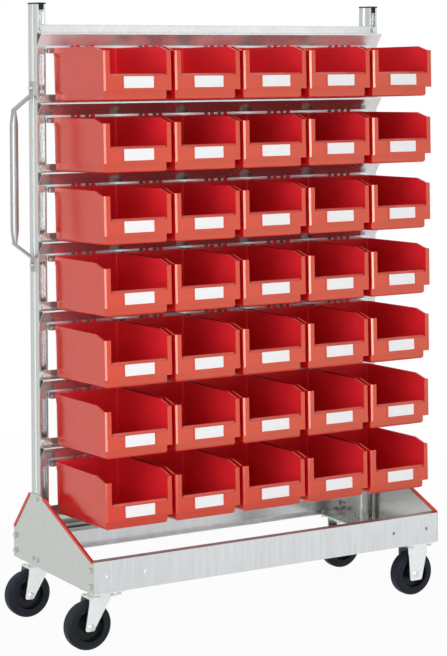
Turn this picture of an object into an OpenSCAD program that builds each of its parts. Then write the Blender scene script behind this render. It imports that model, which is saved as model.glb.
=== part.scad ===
// Mobile bin rack: two slotted uprights on a wheeled base carry rails, and open-fronted bins hang on them.
// Sizes are in millimetres. X runs along the rack, -Y is its open front and Z = 0 is the floor.

/* [Bins] */
// Distance from one bin to the next along a rail
bin_pitch = 203.5; // [160:0.5:260]
// Free space between neighbouring bins
bin_gap = 9.5; // [6:0.5:20]
// Length of a bin from its rear wall to its front face
bin_l = 290; // [240:1:340]
// Height of the front posts of a bin above its base
bin_front_h = 124; // [110:1:130]
// Height of the sill under the front opening
bin_sill_h = 66; // [50:1:90]
// Width of each front post beside the opening
bin_post_w = 16; // [10:1:30]
// Height of the narrower stacking base under the bin
bin_foot_h = 24; // [15:1:40]
// How far the stacking base is set back under the front
bin_foot_setback = 20; // [10:1:30]
// How far the stacking base is set in at each side
bin_foot_inset = 8; // [4:0.5:15]
// Wall thickness of a bin
bin_wall = 2.5; // [2:0.1:3]
// How far the rim and the front frame stand out from the side walls
bin_rim_out = 3; // [2:0.5:6]
// Height of the rim band along the side walls
bin_rim_h = 20; // [10:1:26]
// Length of the stretch where the side walls fall to the front posts
bin_fall_l = 42; // [25:1:60]
// How much lower the side walls are where that fall starts
bin_rim_fall = 4; // [0:0.5:8]
// Depth of the front frame from front to back
bin_frame_d = 16; // [10:1:24]
// Upward tilt of the front of a bin, in degrees
bin_tilt = 2.2; // [0:0.1:3]
// Width of the label pocket on the front
label_w = 86; // [60:1:110]
// Height of the label pocket on the front
label_h = 30; // [20:1:32]

/* [Rails] */
// Vertical distance from one row of bins to the next
row_pitch = 181; // [176:1:190]
// Height of the ledge of the lowest rail
low_ledge = 300.5; // [260:0.5:340]
// Sheet thickness of a rail
rail_t = 2; // [1.5:0.1:2.5]
// Height of the bolted flange above the ledge
flange_h = 20.5; // [18:0.5:30]
// Depth of the ledge that the bins stand on
ledge_d = 25; // [23:0.5:30]
// Height of the folded nose of the ledge
nose_h = 4.5; // [3:0.5:8]
// Drop from the ledge to the crease below the slanted face
crease_drop = 33; // [28:0.5:36]
// Drop from the ledge to the floor of the hanging trough
trough_drop = 53; // [50:0.5:56]
// Distance from the uprights to the front of the trough's lip
lip_d = 16; // [14:0.5:17]

/* [Uprights] */
// Width of an upright across the rack
post_w = 25; // [20:1:40]
// Depth of an upright from front to back
post_d = 52; // [40:1:70]
// Sheet thickness of an upright
post_t = 2; // [1.5:0.1:3]
// Width of the slot down the front of an upright
slot_w = 15; // [12:0.5:16]
// Depth of the returned lips beside the slot
slot_lip = 8; // [5:0.5:12]
// Height of the uprights above the uppermost ledge
post_above = 73.5; // [40:0.5:120]
// Room between an upright and the nearest bin
side_room = 8.5; // [4:0.5:30]
// Thickness of the plate of an end cap
cap_t = 4; // [2:0.5:8]

/* [Handle] */
// Distance from the upright to the axis of the grip
grip_out = 55; // [45:1:80]
// Outer diameter of the grip tube
grip_d = 22; // [18:0.5:28]
// Height of the middle of the grip above the floor
grip_mid_z = 1192; // [1000:1:1300]
// Distance between the bends at the two ends of the grip
grip_l = 350; // [250:1:450]
// Thickness of the flattened ends of the tube
handle_flat_t = 5; // [4:0.5:8]
// Rise of the sloping bars from the grip to the tabs
handle_rise = 40; // [30:1:60]
// Length of the flat tabs on the upright
handle_tab_l = 34; // [26:1:50]

/* [Base] */
// Distance from the front of the uprights to the front of the base
base_front = 305; // [270:1:340]
// Distance from the front of the uprights to the back of the base
base_rear = 160; // [130:1:200]
// Height of the two cross beams
beam_h = 82; // [70:1:100]
// Depth of the flanges of the cross beams
beam_flange = 25; // [20:1:40]
// Sheet thickness of the cross beams
beam_t = 2; // [1.5:0.1:3]
// Height of the side panels over the uprights' feet
panel_h = 195; // [150:1:240]
// Sheet thickness of the side panels
panel_t = 3; // [2:0.1:4]
// Width of the inward flange along the bottom of a side panel
panel_flange = 100; // [95:1:120]
// How far the top of a side panel stands in front of the upright
panel_top_front = 15.5; // [5:0.5:40]
// How far the top of a side panel stands behind the upright
panel_top_rear = 6; // [4:0.5:40]
// Height of the edge trims on the sloping edges
trim_h = 8; // [6:0.5:12]
// Wall thickness of the edge trims
trim_t = 2; // [1.5:0.1:3]
// Distance between the two accessory holes at each end of the front beam
hole_pitch = 111; // [60:1:160]
// Distance from the end of the front beam to its first accessory hole
hole_end = 36.5; // [25:0.5:60]
// Diameter of the accessory holes
hole_d = 9; // [6:0.5:12]

/* [Casters] */
// Overall height of a caster
caster_h = 155; // [152:1:175]
// Diameter of a wheel
wheel_d = 125; // [110:1:130]
// Width of a tyre
tyre_w = 36; // [28:1:40]
// Diameter of the hub under the tyre
hub_d = 92; // [80:1:100]
// Horizontal distance from the swivel axis to the axle
trail = 39; // [30:1:45]
// Length of a caster's top plate, from front to back
plate_l = 106; // [104:1:120]
// Width of a caster's top plate, along the rack
plate_w = 85; // [80:1:100]
// Thickness of a caster's top plate
plate_t = 4; // [3:0.5:5]
// Bolt spacing of a top plate from front to back
plate_bolt_l = 86; // [84:1:88]
// Bolt spacing of a top plate along the rack
plate_bolt_w = 60; // [56:1:64]
// Distance from the side panel to the caster's axis
caster_in = 50.5; // [46:0.5:60]
// Distance from the front or back of the base to the caster's axis
caster_back = 56.5; // [52:0.5:70]
// Sheet thickness of the forks
fork_t = 3; // [2.5:0.1:4]
// Free space between a hub and a fork leg
fork_gap = 1; // [0.5:0.1:3]
// Diameter of the axles
axle_d = 12; // [8:0.5:16]

/* [Clearances] */
// Gap at a seat where a bin rests or hangs
seat_gap = 0.4; // [0.3:0.1:1]
// Radial running clearance of an axle or a king pin
run_gap = 0.05; // [0.02:0.01:0.1]
// Radial clearance of a bolt in its hole
bolt_gap = 0.3; // [0.2:0.1:0.5]

/* [Hidden] */
row_count = 7;
col_count = 5;
$fn = 48;

// How far cuts and joins reach past a face
past = 1;

// Large and small bolts: shank, hexagon, head and nut
bolt_d = 8;
hex_d = 15;
head_h = 5.5;
nut_h = 6.5;
small_d = 6;
small_hex_d = 11.5;
small_head_h = 4;
small_nut_h = 5;

// Bead along the side of an upright, and the bolts beside it
bead = 1.5;
bead_from = post_d * 0.44;
bead_to = post_d * 0.6;
foot_bolt_front = slot_lip + 7;
foot_bolt_rear = post_d - post_t - 8.5;

// Handle
handle_y = (bead_from + bead_to) / 2;
handle_w = 22;
handle_bolt_z = grip_l / 2 + handle_rise + handle_tab_l / 2;

// Rack
bin_w = bin_pitch - bin_gap;
bins_w = col_count * bin_pitch - bin_gap;
inner_w = bins_w + 2 * side_room;
post_pitch = inner_w + post_w;
outer_w = inner_w + 2 * post_w;
base_w = outer_w + 2 * panel_t;
base_z = caster_h;
top_ledge = low_ledge + row_count * row_pitch;
post_foot = base_z + panel_t;
post_top = top_ledge + post_above;

// Rail and hook levels, measured from a rail's own ledge
hook_t = bin_wall + 0.5;
hook_end = 2;
lip_top = trough_drop - 9.7;
hook_under = lip_top - seat_gap;
hook_top = hook_under - hook_t;
bin_top = hook_under - bin_wall;
hook_tail_d = rail_t + 1.4;
hook_tail_end = trough_drop - rail_t / 2 - 1;
tab_h = 8;
tab_w = 12;
tab_pitch = 42;
notch_drop = crease_drop + 4;

// A bin stands with its rear edge on one ledge and its hook over the lip of the rail above
bin_rear_d = lip_d + 0.6;
bin_h = (row_pitch - bin_top - seat_gap) / cos(bin_tilt);
bin_seat_d = bin_rear_d + bin_h * sin(bin_tilt);
bin_sill_lip = 12;
bin_sill_rise = 5;
bin_corner = 4;
bin_rear_r = 9;
bin_edge_r = 8;
bin_floor_r = 3;
bin_frame_lip = 0.5;
label_low = bin_sill_h - bin_sill_rise - label_h - 1;
pocket_out = 1;
pocket_rim = 4;

// Bolts of the beams: distances from the lower and the upper edge
beam_bolt_low = 18;
beam_bolt_high = 22;

// Reach of the forks' crowns, legs and feet from the king pin, the axle or the plate's middle
crown_rear = 4;
crown_front = 34;
swivel_leg_front = 18;
swivel_foot_rear = 17;
swivel_foot_front = 10;
swivel_foot_low = 10;
fixed_leg_rear = 28;
fixed_foot = 40;
fixed_foot_low = 18;

// Casters
wheel_r = wheel_d / 2;
hub_w = tyre_w + 8;
fork_in = hub_w + 2 * fork_gap;
fork_out = fork_in + 2 * fork_t;
leg_corner_r = 6;
crown_t = 4;
head_room = caster_h - plate_t - wheel_d;
race_h = head_room / 2;
crown_top = caster_h - plate_t - race_h;
crown_gap = 0.3;
king_d = 20;
king_flange_d = 32;
king_flange_t = 4;
race_d = 62;
caster_x = base_w / 2 - caster_in;
caster_mid = (base_front - base_rear) / 2;
caster_reach = (base_front + base_rear) / 2 - caster_back;

// The origin lies under the middle of the whole rack
x_low = min(-outer_w / 2 - grip_out - grip_d / 2, -caster_x - trail - wheel_r);
x_high = max(base_w / 2 + head_h, caster_x + wheel_r);
bin_front = bin_seat_d + (bin_l + pocket_out) * cos(bin_tilt) - (label_low - pocket_rim) * sin(bin_tilt);
y_low = -max(base_front, bin_front);
y_high = base_rear;

function bin_name(row, col) = str("bin_r", row, "_c", col);
function ledge_z(rail) = top_ledge - (rail - 1) * row_pitch;
function bin_x(col) = (col - (col_count + 1) / 2) * bin_pitch;

// Outline of a sheet of thickness t folded along a path
function side_of(a, b) = let (d = (b - a) / norm(b - a)) [-d.y, d.x];
function fold_point(path, i, h) =
    let (last = len(path) - 1)
    let (before = side_of(path[max(i - 1, 0)], path[max(i, 1)]))
    let (after = side_of(path[min(i, last - 1)], path[min(i + 1, last)]))
    let (mid = (before + after) / norm(before + after))
    path[i] + mid * h / (mid * before);
function folded(path, t) = concat(
    [for (i = [0:len(path) - 1]) fold_point(path, i, t / 2)],
    [for (i = [len(path) - 1:-1:0]) fold_point(path, i, -t / 2)]
);

function flip(points) = [for (i = [len(points) - 1:-1:0]) points[i]];

// Points of a quarter arc round a centre
function arc(centre, r, from, to, steps = 4) =
    [for (i = [0:steps]) let (a = from + (to - from) * i / steps) centre + r * [cos(a), sin(a)]];

// Moves the rack so that the origin lies under its middle
module in_place() {
    translate([-(x_low + x_high) / 2, -(y_low + y_high) / 2, 0]) children();
}

// Extrudes an outline of distances forward and heights along the rack
module across(width) {
    rotate([90, 0, -90]) linear_extrude(width, center = true) children();
}

// A hexagon bolt through a grip, its head towards +Z, with its nut below
module hex_bolt(d, hex, head, nut, grip) {
    cylinder(d = hex, h = head, $fn = 6);
    translate([0, 0, -grip - nut]) cylinder(d = d, h = grip + nut);
    translate([0, 0, -grip - nut]) cylinder(d = hex, h = nut, $fn = 6);
}

module bolt(grip) {
    hex_bolt(bolt_d, hex_d, head_h, nut_h, grip);
}

module small_bolt(grip) {
    hex_bolt(small_d, small_hex_d, small_head_h, small_nut_h, grip);
}

// A hole for a bolt, on both sides of its seat
module bolt_hole(d, depth) {
    cylinder(d = d + 2 * bolt_gap, h = depth, center = true);
}

// The two bolts of a caster plate at its front end (-1) or its rear end (1)
module at_plate_bolts(end) {
    for (x = [-1, 1]) translate([x * plate_bolt_w / 2, end * plate_bolt_l / 2, 0]) children();
}

// Places a caster: side -1 is left, end -1 is the front
module at_caster(side, end) {
    translate([side * caster_x, -caster_mid + end * caster_reach, 0]) children();
}

module upright() {
    wall = post_t / 2;
    half = post_w / 2 - wall;
    slot = slot_w / 2 + wall;
    left = [[-slot, slot_lip], [-slot, wall], [-half, wall], [-half, bead_from - bead],
        [-half + bead, bead_from], [-half + bead, bead_to], [-half, bead_to + bead], [-half, post_d - wall]];
    right = [for (point = flip(left)) [-point.x, point.y]];
    outline = folded(concat(left, right), post_t);
    translate([0, 0, post_foot]) linear_extrude(post_top - post_foot) polygon(outline);
}

module uprights() {
    color("gainsboro") in_place() difference() {
        for (side = [-1, 1]) translate([side * post_pitch / 2, 0, 0]) upright();
        panel_post_bolts() bolt_hole(small_d, 2 * (panel_t + post_t + 1));
        handle_bolts() bolt_hole(bolt_d, 2 * (handle_flat_t + bead + post_t + 1));
    }
}

module upright_caps() {
    over = 1;
    fit = 0.3;
    tongue_h = 14;
    color("#26282a") in_place() for (side = [-1, 1]) translate([side * post_pitch / 2, 0, post_top]) {
        translate([-post_w / 2 - over, -over, 0]) cube([post_w + 2 * over, post_d + 2 * over, cap_t]);
        translate([-slot_w / 2 + fit, 0, -tongue_h]) cube([slot_w - 2 * fit, slot_lip, tongue_h]);
    }
}

// A rail is one folded sheet: flange, ledge, nose, slanted face and hanging trough
module rail() {
    wall = rail_t / 2;
    square = bolt_d + 2 * bolt_gap;
    path = [[wall, flange_h], [wall, -wall], [ledge_d - wall, -wall], [ledge_d - wall, -nose_h],
        [wall, -crease_drop], [wall, -trough_drop], [lip_d - wall, -trough_drop], [lip_d - wall, -lip_top]];
    difference() {
        across(outer_w) polygon(folded(path, rail_t));
        for (side = [-1, 1])
            translate([side * post_pitch / 2, -ledge_d / 2 - wall, -notch_drop - trough_drop / 2])
                cube([post_w, ledge_d, trough_drop], center = true);
        for (side = [-1, 1])
            translate([side * post_pitch / 2, 0, flange_h / 2])
                cube([square, 4 * rail_t, square], center = true);
    }
}

module bin_rails() {
    color("silver") in_place() for (i = [1:row_count + 1]) translate([0, 0, ledge_z(i)]) rail();
}

// Places a bolt at each end of each rail, its head to the front
module rail_bolts() {
    for (i = [1:row_count + 1], side = [-1, 1])
        translate([side * post_pitch / 2, -rail_t, ledge_z(i) + flange_h / 2])
            rotate([90, 0, 0]) children();
}

// Places a bolt through a side panel into the foot of each upright, its head outside
module panel_post_bolts() {
    low = post_foot + 16;
    high = base_z + panel_h - 12;
    spots = [[foot_bolt_front, high], [foot_bolt_front, low], [foot_bolt_rear, low]];
    for (side = [-1, 1], spot = spots)
        translate([side * base_w / 2, spot.x, spot.y]) rotate([0, side * 90, 0]) children();
}

// Places a bolt through a side panel into the ends of the beams, its head outside
module panel_beam_bolts() {
    front = -base_front + beam_flange / 2;
    rear = base_rear - beam_flange / 2;
    for (side = [-1, 1], z = [beam_bolt_low, beam_h - beam_bolt_high], y = [front, rear])
        translate([side * base_w / 2, y, base_z + z]) rotate([0, side * 90, 0]) children();
}

// Places a bolt through each tab of the handle, its head outside
module handle_bolts() {
    for (z = [grip_mid_z - handle_bolt_z, grip_mid_z + handle_bolt_z])
        translate([-outer_w / 2 - handle_flat_t, handle_y, z]) rotate([0, -90, 0]) children();
}

module frame_bolts() {
    channel_nut_t = 6;
    channel_nut_w = post_w - 2 * post_t - 1;
    channel_depth = rail_t + slot_lip;
    color("lightgray") in_place() {
        rail_bolts() {
            cylinder(d = hex_d, h = head_h, $fn = 6);
            translate([0, 0, -channel_depth - channel_nut_t])
                cylinder(d = bolt_d, h = channel_depth + channel_nut_t);
            translate([0, 0, -channel_depth - channel_nut_t / 2])
                cube([channel_nut_w, channel_nut_w, channel_nut_t], center = true);
        }
        panel_post_bolts() small_bolt(panel_t + post_t);
        panel_beam_bolts() bolt(2 * panel_t);
        handle_bolts() bolt(handle_flat_t + bead + post_t);
        for (side = [-1, 1], end = [-1, 1]) at_caster(side, end) {
            at_plate_bolts(end) translate([0, 0, caster_h + beam_t]) bolt(plate_t + beam_t);
            at_plate_bolts(-end) translate([0, 0, caster_h + panel_t]) bolt(plate_t + panel_t);
        }
    }
}

// One end of the handle, above the middle of the grip: tube, flattened bend, sloping bar and tab
module handle_end() {
    blend_l = 30;
    knee = grip_l / 2;
    flat_from = knee - 6;
    tube_top = flat_from - blend_l;
    half = handle_flat_t / 2;
    path = [[-grip_out, flat_from], [-grip_out, knee], [-half, knee + handle_rise],
        [-half, knee + handle_rise + handle_tab_l]];
    translate([-grip_out, 0, 0]) cylinder(d = grip_d, h = tube_top);
    hull() {
        translate([-grip_out, 0, tube_top - 1]) cylinder(d = grip_d, h = 1, $fn = 32);
        translate([-grip_out - half, -handle_w / 2, flat_from]) cube([handle_flat_t, handle_w, 1]);
    }
    rotate([90, 0, 0]) linear_extrude(handle_w, center = true) polygon(folded(path, handle_flat_t));
}

module push_handle() {
    color("gainsboro") in_place() difference() {
        translate([-outer_w / 2, handle_y, grip_mid_z]) {
            handle_end();
            mirror([0, 0, 1]) handle_end();
        }
        handle_bolts() bolt_hole(bolt_d, 3 * handle_flat_t);
    }
}

// Outline of a side panel as distances forward and heights above its bottom edge
function panel_outline() = [[base_front, 0], [base_front, beam_h], [panel_top_front, panel_h],
    [-post_d - panel_top_rear, panel_h], [-base_rear, beam_h], [-base_rear, 0]];

module side_panel(side) {
    flange_front = base_front - beam_flange - 0.5;
    flange_rear = base_rear - beam_flange - 0.5;
    flange_mid = (flange_rear - flange_front) / 2;
    color("gainsboro") in_place() difference() {
        union() {
            translate([side * (outer_w + panel_t) / 2, 0, base_z]) across(panel_t) polygon(panel_outline());
            translate([side * (base_w - panel_flange) / 2, flange_mid, base_z + panel_t / 2])
                cube([panel_flange, flange_front + flange_rear, panel_t], center = true);
        }
        panel_post_bolts() bolt_hole(small_d, 3 * panel_t);
        panel_beam_bolts() bolt_hole(bolt_d, 3 * panel_t);
        for (end = [-1, 1]) at_caster(side, end) at_plate_bolts(-end)
            translate([0, 0, base_z]) bolt_hole(bolt_d, 3 * panel_t);
    }
}

module left_side_panel() {
    side_panel(-1);
}

module right_side_panel() {
    side_panel(1);
}

// A channel-shaped trim clipped over the edge from one point of a panel's outline to another
module edge_trim(from, to) {
    along = (to - from) / norm(to - from);
    out = [-along.y, along.x];
    start = from + along * trim_h / 2;
    end = to - along * trim_h / 2;
    low = out * (trim_h - trim_t);
    outer = [start + out * trim_t, end + out * trim_t, end - low, start - low];
    inner = [from, to, to - out * trim_h, from - out * trim_h];
    difference() {
        across(panel_t + 2 * trim_t) polygon(outer);
        across(panel_t) polygon(inner);
    }
}

module panel_edge_trims() {
    outline = panel_outline();
    panel_x = (outer_w + panel_t) / 2;
    color("firebrick") in_place() difference() {
        for (side = [-1, 1]) translate([side * panel_x, 0, base_z]) {
            edge_trim(outline[2], outline[1]);
            edge_trim(outline[4], outline[3]);
        }
        translate([-outer_w / 2, -base_front, base_z])
            cube([outer_w, base_front + base_rear, beam_h + seat_gap]);
    }
}

// A channel beam with its web at a distance forward and its open side towards the middle of the base
module cross_beam(face, towards) {
    wall = beam_t / 2;
    web = face - towards * wall;
    edge = face - towards * beam_flange;
    path = [[edge, wall], [web, wall], [web, beam_h - wall], [edge, beam_h - wall]];
    end_d = beam_flange - 1;
    end_x = (outer_w - panel_t) / 2;
    difference() {
        union() {
            translate([0, 0, base_z]) across(outer_w) polygon(folded(path, beam_t));
            for (side = [-1, 1])
                translate([side * end_x, -face + towards * end_d / 2, base_z + beam_h / 2])
                    cube([panel_t, end_d, beam_h], center = true);
        }
        panel_beam_bolts() bolt_hole(bolt_d, 6 * panel_t);
        for (side = [-1, 1]) at_caster(side, -towards) at_plate_bolts(-towards)
            translate([0, 0, base_z]) bolt_hole(bolt_d, 4 * beam_t);
    }
}

module front_beam() {
    first_hole = outer_w / 2 - hole_end;
    color("whitesmoke") in_place() difference() {
        cross_beam(base_front, 1);
        for (side = [-1, 1], step = [0, 1])
            translate([side * (first_hole - step * hole_pitch), -base_front, base_z + beam_h / 2])
                rotate([90, 0, 0]) cylinder(d = hole_d, h = 4 * beam_t, center = true);
    }
}

module rear_beam() {
    color("whitesmoke") in_place() cross_beam(-base_rear, -1);
}

// Top plate of a caster with its bolt holes
module caster_plate() {
    difference() {
        translate([-plate_w / 2, -plate_l / 2, caster_h - plate_t]) cube([plate_w, plate_l, plate_t]);
        for (end = [-1, 1]) at_plate_bolts(end) translate([0, 0, caster_h]) bolt_hole(bolt_d, 3 * plate_t);
    }
}

// Plate of a swivel caster with its ball race and the king pin that holds the fork
module swivel_plates() {
    crown_low = crown_top - crown_t;
    flange_top = crown_low - crown_gap;
    color("silver") in_place() for (end = [-1, 1]) at_caster(-1, end) {
        caster_plate();
        translate([0, 0, crown_top + crown_gap])
            cylinder(d = race_d, h = caster_h - plate_t - crown_top - crown_gap);
        translate([0, 0, flange_top - king_flange_t]) cylinder(d = king_flange_d, h = king_flange_t);
        translate([0, 0, flange_top - king_flange_t])
            cylinder(d = king_d - 2 * run_gap, h = caster_h - plate_t - flange_top + king_flange_t);
    }
}

// One leg of a fork, seen along Y: a plate that tapers to a blunt end below the axle
module fork_leg(top, foot, axle_x) {
    r = leg_corner_r;
    translate([0, fork_t / 2, 0]) rotate([90, 0, 0]) linear_extrude(fork_t) difference() {
        polygon(concat(
            [[top[0], top[2]]],
            arc([foot[0] + r, foot[2] + r], r, 180, 270),
            arc([foot[1] - r, foot[2] + r], r, 270, 360),
            [[top[1], top[2]]]
        ));
        translate([axle_x, wheel_r]) circle(d = axle_d + 2 * bolt_gap);
    }
}

// Both legs: top and foot each give the low and high end along X and the height
module fork_legs(top, foot, axle_x) {
    for (side = [-1, 1]) translate([0, side * (fork_in + fork_t) / 2, 0]) fork_leg(top, foot, axle_x);
}

module swivel_fork(end) {
    crown_low = -trail - crown_rear;
    crown_high = crown_front;
    top = [crown_low, swivel_leg_front, crown_top - crown_t / 2];
    foot = [-trail - swivel_foot_rear, -trail + swivel_foot_front, wheel_r - swivel_foot_low];
    color("silver") in_place() at_caster(-1, end) difference() {
        union() {
            translate([crown_low, -fork_out / 2, crown_top - crown_t])
                cube([crown_high - crown_low, fork_out, crown_t]);
            fork_legs(top, foot, -trail);
        }
        translate([0, 0, crown_top - 2 * crown_t]) cylinder(d = king_d, h = 3 * crown_t);
    }
}

module fixed_forks() {
    top = [-fixed_leg_rear, plate_w / 2, caster_h - plate_t / 2];
    foot = [-fixed_foot / 2, fixed_foot / 2, wheel_r - fixed_foot_low];
    color("silver") in_place() for (end = [-1, 1]) at_caster(1, end) {
        caster_plate();
        fork_legs(top, foot, 0);
    }
}

// An axle through a fork, along Y, with a low riveted head at each end
module axle(x) {
    head_d = axle_d * 1.5;
    head_t = axle_d / 4;
    translate([x, 0, wheel_r]) rotate([90, 0, 0]) {
        cylinder(d = axle_d, h = fork_out + head_t, center = true);
        for (side = [0, 180]) rotate([side, 0, 0]) translate([0, 0, fork_out / 2])
            cylinder(d1 = head_d, d2 = head_d - 2 * head_t, h = head_t);
    }
}

module swivel_axle(end) {
    color("lightgray") in_place() at_caster(-1, end) axle(-trail);
}

module fixed_axles() {
    color("lightgray") in_place() for (end = [-1, 1]) at_caster(1, end) axle(0);
}

// Places a wheel at the axle of a caster, with its own axis along Z
module at_wheel(side, end) {
    at_caster(side, end) translate([side < 0 ? -trail : 0, 0, wheel_r]) rotate([90, 0, 0]) children();
}

// A tyre with round shoulders
module tyre(side, end) {
    shoulder = 10;
    half = tyre_w / 2;
    color("#2b2d30") in_place() at_wheel(side, end) rotate_extrude($fn = 96) polygon(concat(
        [[hub_d / 2, -half]],
        arc([wheel_r - shoulder, -half + shoulder], shoulder, -90, 0),
        arc([wheel_r - shoulder, half - shoulder], shoulder, 0, 90),
        [[hub_d / 2, half]]
    ));
}

// A hub with a rim, a dished web and a long boss on the axle
module hub(side, end) {
    rim_t = 6;
    rim_half = tyre_w / 2;
    web_half = 5;
    boss_r = axle_d / 2 + 10;
    bore_r = axle_d / 2 + run_gap;
    rim_r = hub_d / 2;
    upper = [[bore_r, hub_w / 2], [boss_r, hub_w / 2], [boss_r + 3, web_half],
        [rim_r - rim_t - 3, web_half], [rim_r - rim_t, rim_half], [rim_r, rim_half]];
    lower = [for (point = flip(upper)) [point.x, -point.y]];
    color("#1f2123") in_place() at_wheel(side, end) rotate_extrude($fn = 96) polygon(concat(upper, lower));
}

// Upper edge of a bin's side, lowered by a drop: distances forward of its rear wall, heights above its base
function bin_fall_from() = bin_l - bin_frame_d - bin_fall_l;
function bin_top_edge(drop) = [[0, bin_h - drop], [bin_fall_from(), bin_h - bin_rim_fall - drop],
    [bin_l - bin_frame_d, bin_front_h - drop], [bin_l + past, bin_front_h - drop]];

// Plan of a box between two distances forward, with round rear corners
module rear_outline(width, from, to, r) {
    half = width / 2;
    polygon(concat(
        [[half, -to]],
        arc([half - r, -from - r], r, 0, 90),
        arc([-half + r, -from - r], r, 90, 180),
        [[-half, -to]]
    ));
}

// Plan of a bin: its walls and the wider front frame with chamfered corners
module bin_plan() {
    half = bin_w / 2;
    rear = bin_l - bin_frame_d;
    side = bin_l - bin_corner;
    rear_outline(bin_w - 2 * bin_rim_out, 0, bin_l - bin_wall / 2, bin_rear_r);
    polygon([[-half, -rear], [-half, -side], [-half + bin_corner, -bin_l],
        [half - bin_corner, -bin_l], [half, -side], [half, -rear]]);
}

// Long block with round lower edges, from front to back
module edge_block(width, from, to, r, low, high) {
    half = width / 2;
    translate([0, -from, 0]) rotate([90, 0, 0]) linear_extrude(to - from) polygon(concat(
        [[-half, high]],
        arc([-half + r, low + r], r, 180, 270),
        arc([half - r, low + r], r, 270, 360),
        [[half, high]]
    ));
}

// Rim band along the side walls, as high as the walls at first
module bin_rim_band() {
    low = bin_foot_h + past;
    width = bin_w - 2 * bin_frame_lip;
    front = bin_l - bin_frame_d / 2;
    difference() {
        translate([0, 0, low]) linear_extrude(bin_h - low + past)
            rear_outline(width, bin_frame_lip, front, bin_rear_r + bin_rim_out);
        across(2 * bin_w) polygon(concat([[-past, 0], [-past, bin_h - bin_rim_h]], bin_top_edge(bin_rim_h),
            [[bin_l + past, 0]]));
    }
}

// Stacking base: round lower edges and a round front edge
module bin_foot() {
    foot_r = 6;
    front = bin_l - bin_foot_setback;
    difference() {
        edge_block(bin_w - 2 * bin_foot_inset, bin_frame_lip, front, bin_edge_r, 0, bin_foot_h + past);
        across(2 * bin_w) polygon(concat(
            [[front - foot_r, -past]],
            arc([front - foot_r, foot_r], foot_r, 270, 360),
            [[front + past, foot_r], [front + past, -past]]
        ));
    }
}

// Raised rims at the sides and the bottom of the label pocket
module bin_label_pocket() {
    rim_w = label_w + 2 * pocket_rim;
    depth = pocket_out + bin_wall / 2;
    translate([0, -bin_l - pocket_out, label_low]) difference() {
        translate([-rim_w / 2, 0, -pocket_rim]) cube([rim_w, depth, label_h + pocket_rim]);
        translate([-label_w / 2, -past, 0]) cube([label_w, depth + 2 * past, label_h + past]);
    }
}

// Hollow of a bin, with the step where the stacking base starts
module bin_hollow() {
    front = bin_l - bin_wall;
    step = bin_foot_h + bin_wall;
    foot_w = bin_w - 2 * bin_foot_inset - 2 * bin_wall;
    body_w = bin_w - 2 * bin_rim_out - 2 * bin_wall;
    foot_rear = bin_frame_lip + bin_wall;
    edge_block(foot_w, foot_rear, front - bin_foot_setback, bin_floor_r, bin_wall, step + past);
    translate([0, 0, step]) linear_extrude(bin_h)
        rear_outline(body_w, bin_wall, front, bin_rear_r - bin_wall);
}

// Inward lip along the sill of the front opening
module bin_sill(width) {
    sink = 0.4;
    top = bin_sill_h - bin_sill_rise - sink;
    front = bin_l - bin_wall / 2;
    rear = bin_l - bin_sill_lip;
    across(width) polygon([[front, top], [rear, bin_sill_h], [rear, bin_sill_h - bin_wall],
        [front, top - bin_wall]]);
}

module bin_body() {
    opening_w = bin_w - 2 * bin_post_w;
    difference() {
        union() {
            translate([0, 0, bin_foot_h]) linear_extrude(bin_h - bin_foot_h + past) bin_plan();
            bin_rim_band();
            bin_foot();
        }
        across(2 * bin_w) polygon(concat([[-past, 2 * bin_h], [-past, bin_h]], bin_top_edge(0),
            [[bin_l + past, 2 * bin_h]]));
        bin_hollow();
        translate([-opening_w / 2, -bin_l - past, bin_sill_h - bin_sill_rise])
            cube([opening_w, bin_frame_d, bin_h]);
    }
    bin_sill(opening_w + 2 * past);
    bin_label_pocket();
}

// Hook along the top of the rear wall, placed from the ledge of the rail that it hangs on
module bin_hook() {
    wall = hook_t / 2;
    back = hook_tail_d + wall;
    hook_w = bin_w - 2 * (bin_rim_out + bin_rear_r + hook_end);
    root = bin_rear_d + bin_wall / 2;
    tab_t = bin_wall - 1;
    level = -hook_top - wall;
    across(hook_w) polygon(folded([[back, -hook_tail_end], [back, level], [root, level]], hook_t));
    for (side = [-1, 1])
        translate([side * tab_pitch / 2 - tab_w / 2, -root - tab_t / 2, -hook_top - hook_t])
            cube([tab_w, tab_t, tab_h + hook_t]);
}

module hanging_bin(row, col) {
    color("#cc5146") in_place() translate([bin_x(col), 0, 0]) {
        translate([0, -bin_seat_d, ledge_z(row + 1) + seat_gap]) rotate([-bin_tilt, 0, 0]) bin_body();
        translate([0, 0, ledge_z(row)]) bin_hook();
    }
}

uprights();
upright_caps();
bin_rails();
frame_bolts();
push_handle();
left_side_panel();
right_side_panel();
panel_edge_trims();
front_beam();
rear_beam();
swivel_plates();
swivel_fork(-1);  // front_swivel_fork
swivel_fork(1);  // rear_swivel_fork
swivel_axle(-1);  // front_swivel_axle
swivel_axle(1);  // rear_swivel_axle
fixed_forks();
fixed_axles();
tyre(-1, -1);  // front_swivel_tyre
tyre(-1, 1);  // rear_swivel_tyre
tyre(1, -1);  // front_fixed_tyre
tyre(1, 1);  // rear_fixed_tyre
hub(-1, -1);  // front_swivel_hub
hub(-1, 1);  // rear_swivel_hub
hub(1, -1);  // front_fixed_hub
hub(1, 1);  // rear_fixed_hub
for (row = [1:row_count], col = [1:col_count])
    hanging_bin(row, col);
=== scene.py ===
"""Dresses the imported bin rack: softened edges, finishes, blank labels, studio light and the camera.

Sizes and places are in metres.
"""
import math

import bmesh
import bpy
from mathutils import Matrix, Vector


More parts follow.
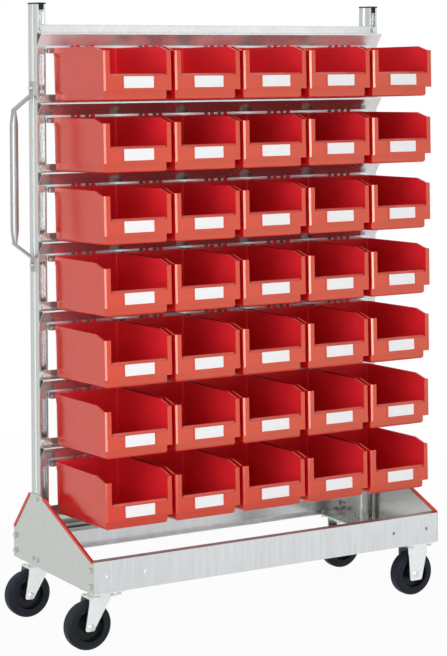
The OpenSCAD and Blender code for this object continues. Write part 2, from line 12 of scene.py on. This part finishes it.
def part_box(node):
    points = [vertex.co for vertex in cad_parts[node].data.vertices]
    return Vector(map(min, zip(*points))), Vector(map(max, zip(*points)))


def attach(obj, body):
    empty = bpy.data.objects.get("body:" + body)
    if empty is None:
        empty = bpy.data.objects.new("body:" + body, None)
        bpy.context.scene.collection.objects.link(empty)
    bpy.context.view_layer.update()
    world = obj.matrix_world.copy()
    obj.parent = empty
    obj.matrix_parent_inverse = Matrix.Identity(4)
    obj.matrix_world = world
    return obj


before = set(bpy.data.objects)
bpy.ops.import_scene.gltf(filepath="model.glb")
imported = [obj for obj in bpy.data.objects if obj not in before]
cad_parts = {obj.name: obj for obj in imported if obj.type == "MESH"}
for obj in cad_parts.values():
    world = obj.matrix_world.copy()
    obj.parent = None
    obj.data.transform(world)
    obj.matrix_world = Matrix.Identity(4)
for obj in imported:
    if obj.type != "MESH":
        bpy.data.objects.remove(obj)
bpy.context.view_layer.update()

MM = 0.001
ROWS = 7
COLUMNS = 5

# Softened edges: their radius, and how the rounding is made
SHEET_EDGE = 0.6 * MM
CAP_EDGE = 1.2 * MM
EDGE_SEGMENTS = 2
EDGE_LEAST_ANGLE = math.radians(31)
FLAT_ANGLE = math.radians(0.5)
WELD_GAP = 0.01 * MM

# Width and sheet of the uprights
POST_WIDTH = 25 * MM
POST_WALL = 2 * MM

# Rails: how far the top one reaches down, and how far a slanted face looks forward and down at least
TOP_RAIL_DROP = 80 * MM
SLANT_FORWARD = 0.5
SLANT_DOWN = 0.3

# Faces of a bin, told apart by how far their normals point sideways, forward and up
CORNER_SIDEWAYS = (0.6, 0.8)
CORNER_FORWARD = 0.6
SILL_SIDEWAYS = 0.1
SILL_FORWARD = (0.2, 0.5)
FACE_UP = 0.8

# Rings on the sides of the tyres
RING_PITCH = 6 * MM

# Label: its size, its place on the bin's front, and the bin's lean
LABEL_SIZE = (85 * MM, 0.5 * MM, 29 * MM)
LABEL_CORNER = 1.5 * MM
LABEL_CORNER_STEPS = 4
LABEL_FORWARD = 290.3 * MM
LABEL_HEIGHT = 45 * MM
BIN_SEAT_Y = 53.9 * MM
BIN_LEAN = math.radians(-2.2)

# Camera at the height of the upper rows, as fitted to the photograph, with its lens in millimetres
CAMERA_PLACE = (-2.8194, -4.6890, 1.5326)
CAMERA_YAW = math.radians(31.072)
CAMERA_PITCH = math.radians(4.802)
CAMERA_LENS = 111.354
CAMERA_SHIFT_Y = -0.17

# Floor: it is nearly white beside the rack and wholly white where it runs into the background
FLOOR_HALF = 9.0
FLOOR_NEAR = 0.8
FLOOR_FAR = 3.0
FLOOR_NEAR_GLOW = 0.95

# Light: its level from all round, and the softboxes with the width and height of each
WHITE = (1, 1, 1, 1)
AMBIENT = 0.16
MIDDLE = (0, 0, 0.9)
SOFTBOXES = {
    "key": {"place": (-2.3, -1.65, 0.88), "target": (0, -0.1, 0.88), "size": (1.0, 1.6), "power": 16},
    "high": {"place": (-2.9, -3.2, 4.3), "target": MIDDLE, "size": (2.5, 2.5), "power": 74},
    "front": {"place": (-3.5, -4.1, 1.6), "target": MIDDLE, "size": (3.0, 3.0), "power": 74},
    "fill": {"place": (1.1, -1.92, 0.9), "target": (0.02, -0.235, 0.9), "size": (1.4, 1.76), "power": 7.2},
    "back": {"place": (2.6, 3.6, 2.4), "target": MIDDLE, "size": (2.5, 2.5), "power": 70, "mirrored": False},
}

# Span that holds nearly all of a cloudy pattern
NOISE_LOW = 0.3
NOISE_HIGH = 0.7

# Darkest and lightest red of the bins' outsides
RED = ((0.64, 0.008, 0.011), (0.69, 0.010, 0.014))

SHEETS = ["left_side_panel", "right_side_panel", "uprights"]
BEAMS = ["front_beam", "rear_beam"]
FORKS = ["swivel_plates", "fixed_forks", "front_swivel_fork", "rear_swivel_fork"]
AXLES = ["fixed_axles", "front_swivel_axle", "rear_swivel_axle"]
WHEELS = ["front_swivel", "rear_swivel", "front_fixed", "rear_fixed"]
BINS = [f"bin_r{row}_c{column}" for row in range(1, ROWS + 1) for column in range(1, COLUMNS + 1)]


class Finish:
    """A material in the making: one shader, and textures in the object's own coordinates."""

    def __init__(self, name, metallic=0.0, specular=0.5):
        self.material = bpy.data.materials.new(name)
        self.material.use_nodes = True
        self.nodes = self.material.node_tree.nodes
        self.links = self.material.node_tree.links
        self.shader = self.nodes["Principled BSDF"]
        self.shader.inputs["Metallic"].default_value = metallic
        self.shader.inputs["Specular IOR Level"].default_value = specular
        self.coordinates = self.nodes.new("ShaderNodeTexCoord").outputs["Object"]

    def noise(self, size, detail=4.0, stretch=(1, 1, 1)):
        """Cloudy pattern with blotches of about the given size."""
        spread = self.nodes.new("ShaderNodeMapping")
        spread.inputs["Scale"].default_value = stretch
        self.links.new(self.coordinates, spread.inputs["Vector"])
        noise = self.nodes.new("ShaderNodeTexNoise")
        noise.inputs["Scale"].default_value = 1 / size
        noise.inputs["Detail"].default_value = detail
        self.links.new(spread.outputs["Vector"], noise.inputs["Vector"])
        return noise.outputs["Fac"]

    def cells(self, size):
        """Random grey per crystal-like cell of about the given size."""
        cells = self.nodes.new("ShaderNodeTexVoronoi")
        cells.inputs["Scale"].default_value = 1 / size
        self.links.new(self.coordinates, cells.inputs["Vector"])
        grey = self.nodes.new("ShaderNodeSeparateColor")
        self.links.new(cells.outputs["Color"], grey.inputs["Color"])
        return grey.outputs["Red"]

    def rings(self, centre, pitch):
        """Even rings round an axis along Y through the centre."""
        offset = self.nodes.new("ShaderNodeVectorMath")
        offset.operation = "SUBTRACT"
        offset.inputs[1].default_value = centre
        self.links.new(self.coordinates, offset.inputs[0])
        flat = self.nodes.new("ShaderNodeVectorMath")
        flat.operation = "MULTIPLY"
        flat.inputs[1].default_value = (1, 0, 1)
        self.links.new(offset.outputs["Vector"], flat.inputs[0])
        radius = self.nodes.new("ShaderNodeVectorMath")
        radius.operation = "LENGTH"
        self.links.new(flat.outputs["Vector"], radius.inputs[0])
        turns = self.nodes.new("ShaderNodeMath")
        turns.operation = "MULTIPLY"
        turns.inputs[1].default_value = math.tau / pitch
        self.links.new(radius.outputs["Value"], turns.inputs[0])
        wave = self.nodes.new("ShaderNodeMath")
        wave.operation = "SINE"
        self.links.new(turns.outputs["Value"], wave.inputs[0])
        level = self.nodes.new("ShaderNodeMapRange")
        level.inputs["From Min"].default_value = -1.0
        self.links.new(wave.outputs["Value"], level.inputs["Value"])
        return level.outputs["Result"]

    def colour(self, pattern, dark, light, low=NOISE_LOW, high=NOISE_HIGH):
        """Base colour from dark to light, as the pattern goes from low to high."""
        ramp = self.nodes.new("ShaderNodeValToRGB")
        ramp.color_ramp.elements[0].position = low
        ramp.color_ramp.elements[0].color = (*dark, 1)
        ramp.color_ramp.elements[1].position = high
        ramp.color_ramp.elements[1].color = (*light, 1)
        self.links.new(pattern, ramp.inputs["Fac"])
        self.links.new(ramp.outputs["Color"], self.shader.inputs["Base Color"])

    def roughness(self, pattern, smooth, rough):
        """Roughness between the two values, after the pattern."""
        spread = self.nodes.new("ShaderNodeMapRange")
        spread.inputs["From Min"].default_value = NOISE_LOW
        spread.inputs["From Max"].default_value = NOISE_HIGH
        spread.inputs["To Min"].default_value = smooth
        spread.inputs["To Max"].default_value = rough
        self.links.new(pattern, spread.inputs["Value"])
        self.links.new(spread.outputs["Result"], self.shader.inputs["Roughness"])

    def bump(self, pattern, depth, strength):
        """Surface relief of the given depth after the pattern."""
        bump = self.nodes.new("ShaderNodeBump")
        bump.inputs["Strength"].default_value = strength
        bump.inputs["Distance"].default_value = depth
        self.links.new(pattern, bump.inputs["Height"])
        self.links.new(bump.outputs["Normal"], self.shader.inputs["Normal"])


def galvanised(name, dark, light, smooth=0.20, rough=0.28, metallic=0.8, grain="crystals"):
    """Zinc-coated steel: a faint grain of crystals, streaks or clouds, and a slowly changing satin gloss."""
    finish = Finish(name, metallic=metallic)
    if grain == "streaks":
        finish.colour(finish.noise(size=10 * MM, detail=3.0, stretch=(1, 1, 0.08)), dark, light)
    elif grain == "clouds":
        finish.colour(finish.noise(size=90 * MM, detail=1.0), dark, light, low=0.4, high=0.6)
    else:
        finish.colour(finish.cells(size=4 * MM), dark, light, low=0.1, high=0.9)
    finish.roughness(finish.noise(size=40 * MM), smooth, rough)
    finish.bump(finish.noise(size=25 * MM, detail=2.0), depth=0.02 * MM, strength=0.1)
    return finish.material


def red_moulding(name, dark, light, ior=1.67, tint=(1.0, 0.97, 0.58), smooth=0.16, rough=0.22):
    """Glossy red plastic with a fine moulded grain."""
    finish = Finish(name)
    finish.shader.inputs["IOR"].default_value = ior
    finish.shader.inputs["Specular Tint"].default_value = (*tint, 1)
    finish.colour(finish.noise(size=60 * MM), dark, light)
    finish.roughness(finish.noise(size=9 * MM), smooth, rough)
    finish.bump(finish.noise(size=0.8 * MM, detail=2.0), depth=0.03 * MM, strength=0.2)
    return finish.material


def black_moulding():
    """Black plastic with a moulded grain, for hubs and caps."""
    finish = Finish("black_moulding", specular=0.2)
    finish.colour(finish.noise(size=20 * MM), dark=(0.005, 0.006, 0.008), light=(0.010, 0.012, 0.015))
    finish.roughness(finish.noise(size=6 * MM), smooth=0.22, rough=0.32)
    finish.bump(finish.noise(size=0.8 * MM, detail=2.0), depth=0.08 * MM, strength=0.4)
    return finish.material


def tyre_rubber(node):
    """Black rubber with fine rings moulded into the side of one wheel."""
    finish = Finish(f"{node}_rubber", specular=0.2)
    low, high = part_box(node)
    rings = finish.rings((Vector(low) + Vector(high)) / 2, RING_PITCH)
    finish.colour(rings, dark=(0.002, 0.005, 0.010), light=(0.013, 0.019, 0.028), low=0.1, high=0.9)
    finish.roughness(finish.noise(size=10 * MM), smooth=0.50, rough=0.65)
    finish.bump(rings, depth=0.4 * MM, strength=0.6)
    return finish.material


def label_card():
    """White card with a faint grain of fibres."""
    finish = Finish("label_card", specular=0.3)
    fibres = finish.noise(size=3 * MM, detail=6.0, stretch=(1, 1, 4))
    finish.colour(fibres, dark=(0.94, 0.94, 0.95), light=(0.98, 0.98, 0.99))
    finish.roughness(finish.noise(size=5 * MM), smooth=0.55, rough=0.70)
    finish.bump(finish.noise(size=0.6 * MM), depth=0.03 * MM, strength=0.3)
    return finish.material


def dress(node, material, edge=None):
    """Gives a CAD node its finish and, where an edge radius is given, rounds its edges."""
    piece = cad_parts[node]
    piece.data.materials.clear()
    piece.data.materials.append(material)
    if edge is None:
        return
    weld = piece.modifiers.new("weld", "WELD")
    weld.merge_threshold = WELD_GAP
    flat = piece.modifiers.new("flat_faces", "DECIMATE")
    flat.decimate_type = "DISSOLVE"
    flat.angle_limit = FLAT_ANGLE
    bevel = piece.modifiers.new("soft_edges", "BEVEL")
    bevel.width = edge
    bevel.segments = EDGE_SEGMENTS
    bevel.limit_method = "ANGLE"
    bevel.angle_limit = EDGE_LEAST_ANGLE
    normals = piece.modifiers.new("even_normals", "WEIGHTED_NORMAL")
    normals.keep_sharp = True
    if "custom_normal" in piece.data.attributes:
        piece.data.attributes.remove(piece.data.attributes["custom_normal"])
    piece.data.polygons.foreach_set("use_smooth", [True] * len(piece.data.polygons))


def add_slot(node, material):
    """Adds a further finish to a dressed node, and gives the slot that its faces name."""
    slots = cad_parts[node].data.materials
    slots.append(material)
    return len(slots) - 1


def finish_channels(material):
    """Puts a near-white zinc inside the uprights' channels: painted light, standing in for light in these
    shaded recesses.
    """
    slot = add_slot("uprights", material)
    low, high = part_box("uprights")
    edge = POST_WALL / 2
    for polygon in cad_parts["uprights"].data.polygons:
        x, y = polygon.center.x, polygon.center.y
        beside = min(x - low[0], high[0] - x)
        if edge < beside < POST_WIDTH - edge and low[1] + edge < y < high[1] - edge:
            polygon.material_index = slot


def finish_slants(smooth, dull_painted_reflection):
    """Puts a paler zinc on the slanted faces of the rails, painted light that makes them mirror more, and on
    the top rail a duller zinc with pale cloudy patches, painted reflections.
    """
    # Painted light: the first finish is a paler zinc for the slants; painted reflection: the second has pale
    # cloudy patches.
    slant_painted_light_slot = add_slot("bin_rails", smooth)
    dull_painted_reflection_slot = add_slot("bin_rails", dull_painted_reflection)
    top_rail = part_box("bin_rails")[1][2] - TOP_RAIL_DROP
    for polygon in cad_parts["bin_rails"].data.polygons:
        if polygon.normal.y < -SLANT_FORWARD and polygon.normal.z < -SLANT_DOWN:
            polygon.material_index = dull_painted_reflection_slot if polygon.center.z > top_rail else slant_painted_light_slot


def finish_bin(node, corner, sill, inside):
    """Gives a bin polished front corners, and painted light on its shaded faces: a paler red on the sill,
    and a brighter red on top and inside.
    """
    corner_slot, sill_slot, inside_slot = [add_slot(node, material) for material in (corner, sill, inside)]
    low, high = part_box(node)
    middle = (Vector(low) + Vector(high)) / 2
    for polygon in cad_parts[node].data.polygons:
        sideways, forward, up = abs(polygon.normal.x), -polygon.normal.y, polygon.normal.z
        if CORNER_SIDEWAYS[0] < sideways < CORNER_SIDEWAYS[1] and forward > CORNER_FORWARD:
            polygon.material_index = corner_slot
        elif sideways < SILL_SIDEWAYS and SILL_FORWARD[0] < forward < SILL_FORWARD[1] and up > FACE_UP:
            polygon.material_index = sill_slot
        elif up > FACE_UP or polygon.normal.dot(polygon.center - middle) < 0:
            polygon.material_index = inside_slot


def label_mesh(material):
    """Thin card with round corners, centred on its own middle, in the XZ plane."""
    width, depth, height = LABEL_SIZE
    outline = []
    for corner in range(4):
        middle_x = (width / 2 - LABEL_CORNER) * (1 if corner in (0, 3) else -1)
        middle_z = (height / 2 - LABEL_CORNER) * (1 if corner in (0, 1) else -1)
        for step in range(LABEL_CORNER_STEPS + 1):
            angle = math.radians(90 * (corner + step / LABEL_CORNER_STEPS))
            x = middle_x + LABEL_CORNER * math.cos(angle)
            z = middle_z + LABEL_CORNER * math.sin(angle)
            outline.append((x, z))
    card = bmesh.new()
    rear = card.faces.new([card.verts.new((x, depth / 2, z)) for x, z in outline])
    front = bmesh.ops.extrude_face_region(card, geom=[rear])["geom"]
    front_points = [item for item in front if isinstance(item, bmesh.types.BMVert)]
    bmesh.ops.translate(card, verts=front_points, vec=(0, -depth, 0))
    bmesh.ops.recalc_face_normals(card, faces=card.faces)
    mesh = bpy.data.meshes.new("label_card")
    card.to_mesh(mesh)
    card.free()
    mesh.materials.append(material)
    return mesh


def add_labels(material):
    """One blank label in the pocket of each bin."""
    mesh = label_mesh(material)
    lean = Matrix.Rotation(BIN_LEAN, 4, "X")
    for name in BINS:
        low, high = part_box(name)
        seat = Matrix.Translation(((low[0] + high[0]) / 2, BIN_SEAT_Y, low[2]))
        label = bpy.data.objects.new(f"{name}_label", mesh)
        bpy.context.collection.objects.link(label)
        label.matrix_world = seat @ lean @ Matrix.Translation((0, -LABEL_FORWARD, LABEL_HEIGHT))
        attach(label, f"{name}_body")


def light_path_mix(tree, seen, otherwise):
    """Mix that shows one shader to the camera, to mirrors and through glass, and another to other light."""
    path = tree.nodes.new("ShaderNodeLightPath")
    either = tree.nodes.new("ShaderNodeMath")
    either.operation = "MAXIMUM"
    tree.links.new(path.outputs["Is Camera Ray"], either.inputs[0])
    tree.links.new(path.outputs["Is Glossy Ray"], either.inputs[1])
    any_of = tree.nodes.new("ShaderNodeMath")
    any_of.operation = "MAXIMUM"
    tree.links.new(either.outputs[0], any_of.inputs[0])
    tree.links.new(path.outputs["Is Transmission Ray"], any_of.inputs[1])
    mix = tree.nodes.new("ShaderNodeMixShader")
    tree.links.new(any_of.outputs[0], mix.inputs["Fac"])
    tree.links.new(otherwise, mix.inputs[1])
    tree.links.new(seen, mix.inputs[2])
    return mix.outputs["Shader"]


def add_world():
    """Even soft light from all round, with a white background."""
    world = bpy.data.worlds.new("studio")
    world.use_nodes = True
    bpy.context.scene.world = world
    tree = world.node_tree
    soft = tree.nodes["Background"]
    soft.inputs["Color"].default_value = WHITE
    soft.inputs["Strength"].default_value = AMBIENT
    white = tree.nodes.new("ShaderNodeBackground")
    white.inputs["Color"].default_value = WHITE
    white.inputs["Strength"].default_value = 1.0
    shown = light_path_mix(tree, white.outputs["Background"], soft.outputs["Background"])
    tree.links.new(shown, tree.nodes["World Output"].inputs["Surface"])


def floor_material():
    """White that glows where it is seen; beside the rack a small share is matt and keeps the shadow."""
    material = bpy.data.materials.new("pale_floor")
    material.use_nodes = True
    tree = material.node_tree
    tree.nodes.remove(tree.nodes["Principled BSDF"])
    matt = tree.nodes.new("ShaderNodeBsdfDiffuse")
    matt.inputs["Color"].default_value = WHITE
    glow = tree.nodes.new("ShaderNodeEmission")
    glow.inputs["Strength"].default_value = 1.0
    place = tree.nodes.new("ShaderNodeTexCoord")
    distance = tree.nodes.new("ShaderNodeVectorMath")
    distance.operation = "LENGTH"
    tree.links.new(place.outputs["Object"], distance.inputs[0])
    share = tree.nodes.new("ShaderNodeMapRange")
    share.inputs["From Min"].default_value = FLOOR_NEAR
    share.inputs["From Max"].default_value = FLOOR_FAR
    share.inputs["To Min"].default_value = FLOOR_NEAR_GLOW
    share.inputs["To Max"].default_value = 1.0
    tree.links.new(distance.outputs["Value"], share.inputs["Value"])
    pale = tree.nodes.new("ShaderNodeMixShader")
    tree.links.new(share.outputs["Result"], pale.inputs["Fac"])
    tree.links.new(matt.outputs["BSDF"], pale.inputs[1])
    tree.links.new(glow.outputs["Emission"], pale.inputs[2])
    shown = light_path_mix(tree, pale.outputs["Shader"], matt.outputs["BSDF"])
    tree.links.new(shown, tree.nodes["Material Output"].inputs["Surface"])
    return material


def add_floor():
    """Pale floor that runs into the background."""
    corners = [(-FLOOR_HALF, -FLOOR_HALF, 0), (FLOOR_HALF, -FLOOR_HALF, 0)]
    corners += [(FLOOR_HALF, FLOOR_HALF, 0), (-FLOOR_HALF, FLOOR_HALF, 0)]
    mesh = bpy.data.meshes.new("floor")
    mesh.from_pydata(corners, [], [(0, 1, 2, 3)])
    mesh.materials.append(floor_material())
    floor = bpy.data.objects.new("floor", mesh)
    bpy.context.collection.objects.link(floor)


def add_softbox(name, place, target, size, power, mirrored=True):
    """Flat area light, of a width and a height, that faces a point; glossy surfaces may mirror it or not."""
    light = bpy.data.lights.new(name, "AREA")
    light.shape = "RECTANGLE"
    light.size, light.size_y = size
    light.energy = power
    lamp = bpy.data.objects.new(name, light)
    lamp.location = place
    lamp.rotation_euler = (Vector(target) - Vector(place)).to_track_quat("-Z", "Y").to_euler()
    lamp.visible_camera = False
    lamp.visible_glossy = mirrored
    bpy.context.collection.objects.link(lamp)


def add_camera():
    """Camera of the photograph's view."""
    camera = bpy.data.cameras.new("camera")
    camera.lens = CAMERA_LENS
    camera.shift_y = CAMERA_SHIFT_Y
    holder = bpy.data.objects.new("camera", camera)
    holder.location = CAMERA_PLACE
    holder.rotation_euler = (math.pi / 2 - CAMERA_PITCH, 0, -CAMERA_YAW)
    bpy.context.collection.objects.link(holder)
    bpy.context.scene.camera = holder


# Finishes that several pieces share
red = red_moulding("red_moulding", *RED)
red_corner = red_moulding("red_corner", *RED, ior=1.95, tint=(1.0, 0.97, 0.76), smooth=0.10, rough=0.14)
# Painted light: the insides and top faces get a brighter red than the outsides, standing in for light that
# reaches these shaded faces.
red_inside_painted_light = red_moulding("red_inside_painted_light", (0.84, 0.022, 0.034), (0.89, 0.026, 0.039),
                          ior=1.35, tint=(1.0, 0.9, 0.8), smooth=0.34, rough=0.44)
# Painted light: the sill gets a paler red, standing in for the light it lacks in the shade of the bin above.
red_sill_painted_light = red_moulding("red_sill_painted_light", (0.88, 0.20, 0.15), (0.94, 0.22, 0.17), ior=1.2)
black = black_moulding()

# Frame
panel_zinc = galvanised("panel_zinc", (0.53, 0.555, 0.525), (0.57, 0.595, 0.565))
for node in SHEETS:
    dress(node, panel_zinc, SHEET_EDGE)
# Painted light: the channels get a near-white zinc, standing in for light in these shaded recesses.
finish_channels(galvanised("channel_zinc_painted_light", (0.90, 0.93, 0.95), (0.94, 0.97, 0.99),
                           smooth=0.14, rough=0.20, metallic=0.95))
beam_zinc = galvanised("beam_zinc", (0.63, 0.655, 0.67), (0.70, 0.72, 0.73), grain="streaks")
for node in BEAMS:
    dress(node, beam_zinc, SHEET_EDGE)
rail_zinc = galvanised("rail_zinc", (0.50, 0.515, 0.515), (0.54, 0.555, 0.555), smooth=0.18, rough=0.24)
dress("bin_rails", rail_zinc, SHEET_EDGE)
# Painted light: the slanted faces get a paler zinc than the rest of the rails, so that they mirror more
# light.
slant_zinc_painted_light = galvanised("slant_zinc_painted_light", (0.66, 0.65, 0.65), (0.71, 0.70, 0.70), metallic=0.85)
# Painted reflection: the top rail's slants get a duller zinc with pale cloudy patches that stand in for
# reflections.
dull_zinc_painted_reflection = galvanised("dull_zinc_painted_reflection", (0.62, 0.61, 0.61), (0.97, 0.97, 0.97),
                       smooth=0.26, rough=0.34, metallic=0.3, grain="clouds")
finish_slants(slant_zinc_painted_light, dull_zinc_painted_reflection)
handle_zinc = galvanised("handle_zinc", (0.36, 0.38, 0.37), (0.40, 0.42, 0.41), smooth=0.36, rough=0.44)
dress("push_handle", handle_zinc)
bolt_zinc = galvanised("bolt_zinc", (0.56, 0.55, 0.50), (0.63, 0.62, 0.57), smooth=0.25, rough=0.35)
dress("frame_bolts", bolt_zinc)
dress("upright_caps", black, CAP_EDGE)
dress("panel_edge_trims", red, SHEET_EDGE)

# Casters
fork_zinc = galvanised("fork_zinc", (0.80, 0.83, 0.825), (0.85, 0.88, 0.875))
for node in FORKS:
    dress(node, fork_zinc, SHEET_EDGE)
axle_steel = galvanised("axle_steel", (0.66, 0.68, 0.68), (0.72, 0.74, 0.74), smooth=0.30, rough=0.40)
for node in AXLES:
    dress(node, axle_steel)
for wheel in WHEELS:
    dress(f"{wheel}_tyre", tyre_rubber(f"{wheel}_tyre"))
    dress(f"{wheel}_hub", black)

# Bins and their labels
for node in BINS:
    dress(node, red)
    finish_bin(node, red_corner, red_sill_painted_light, red_inside_painted_light)
add_labels(label_card())

# Studio
add_camera()
add_world()
add_floor()
for name, settings in SOFTBOXES.items():
    add_softbox(name, **settings)
bpy.context.scene.view_settings.view_transform = "Standard"
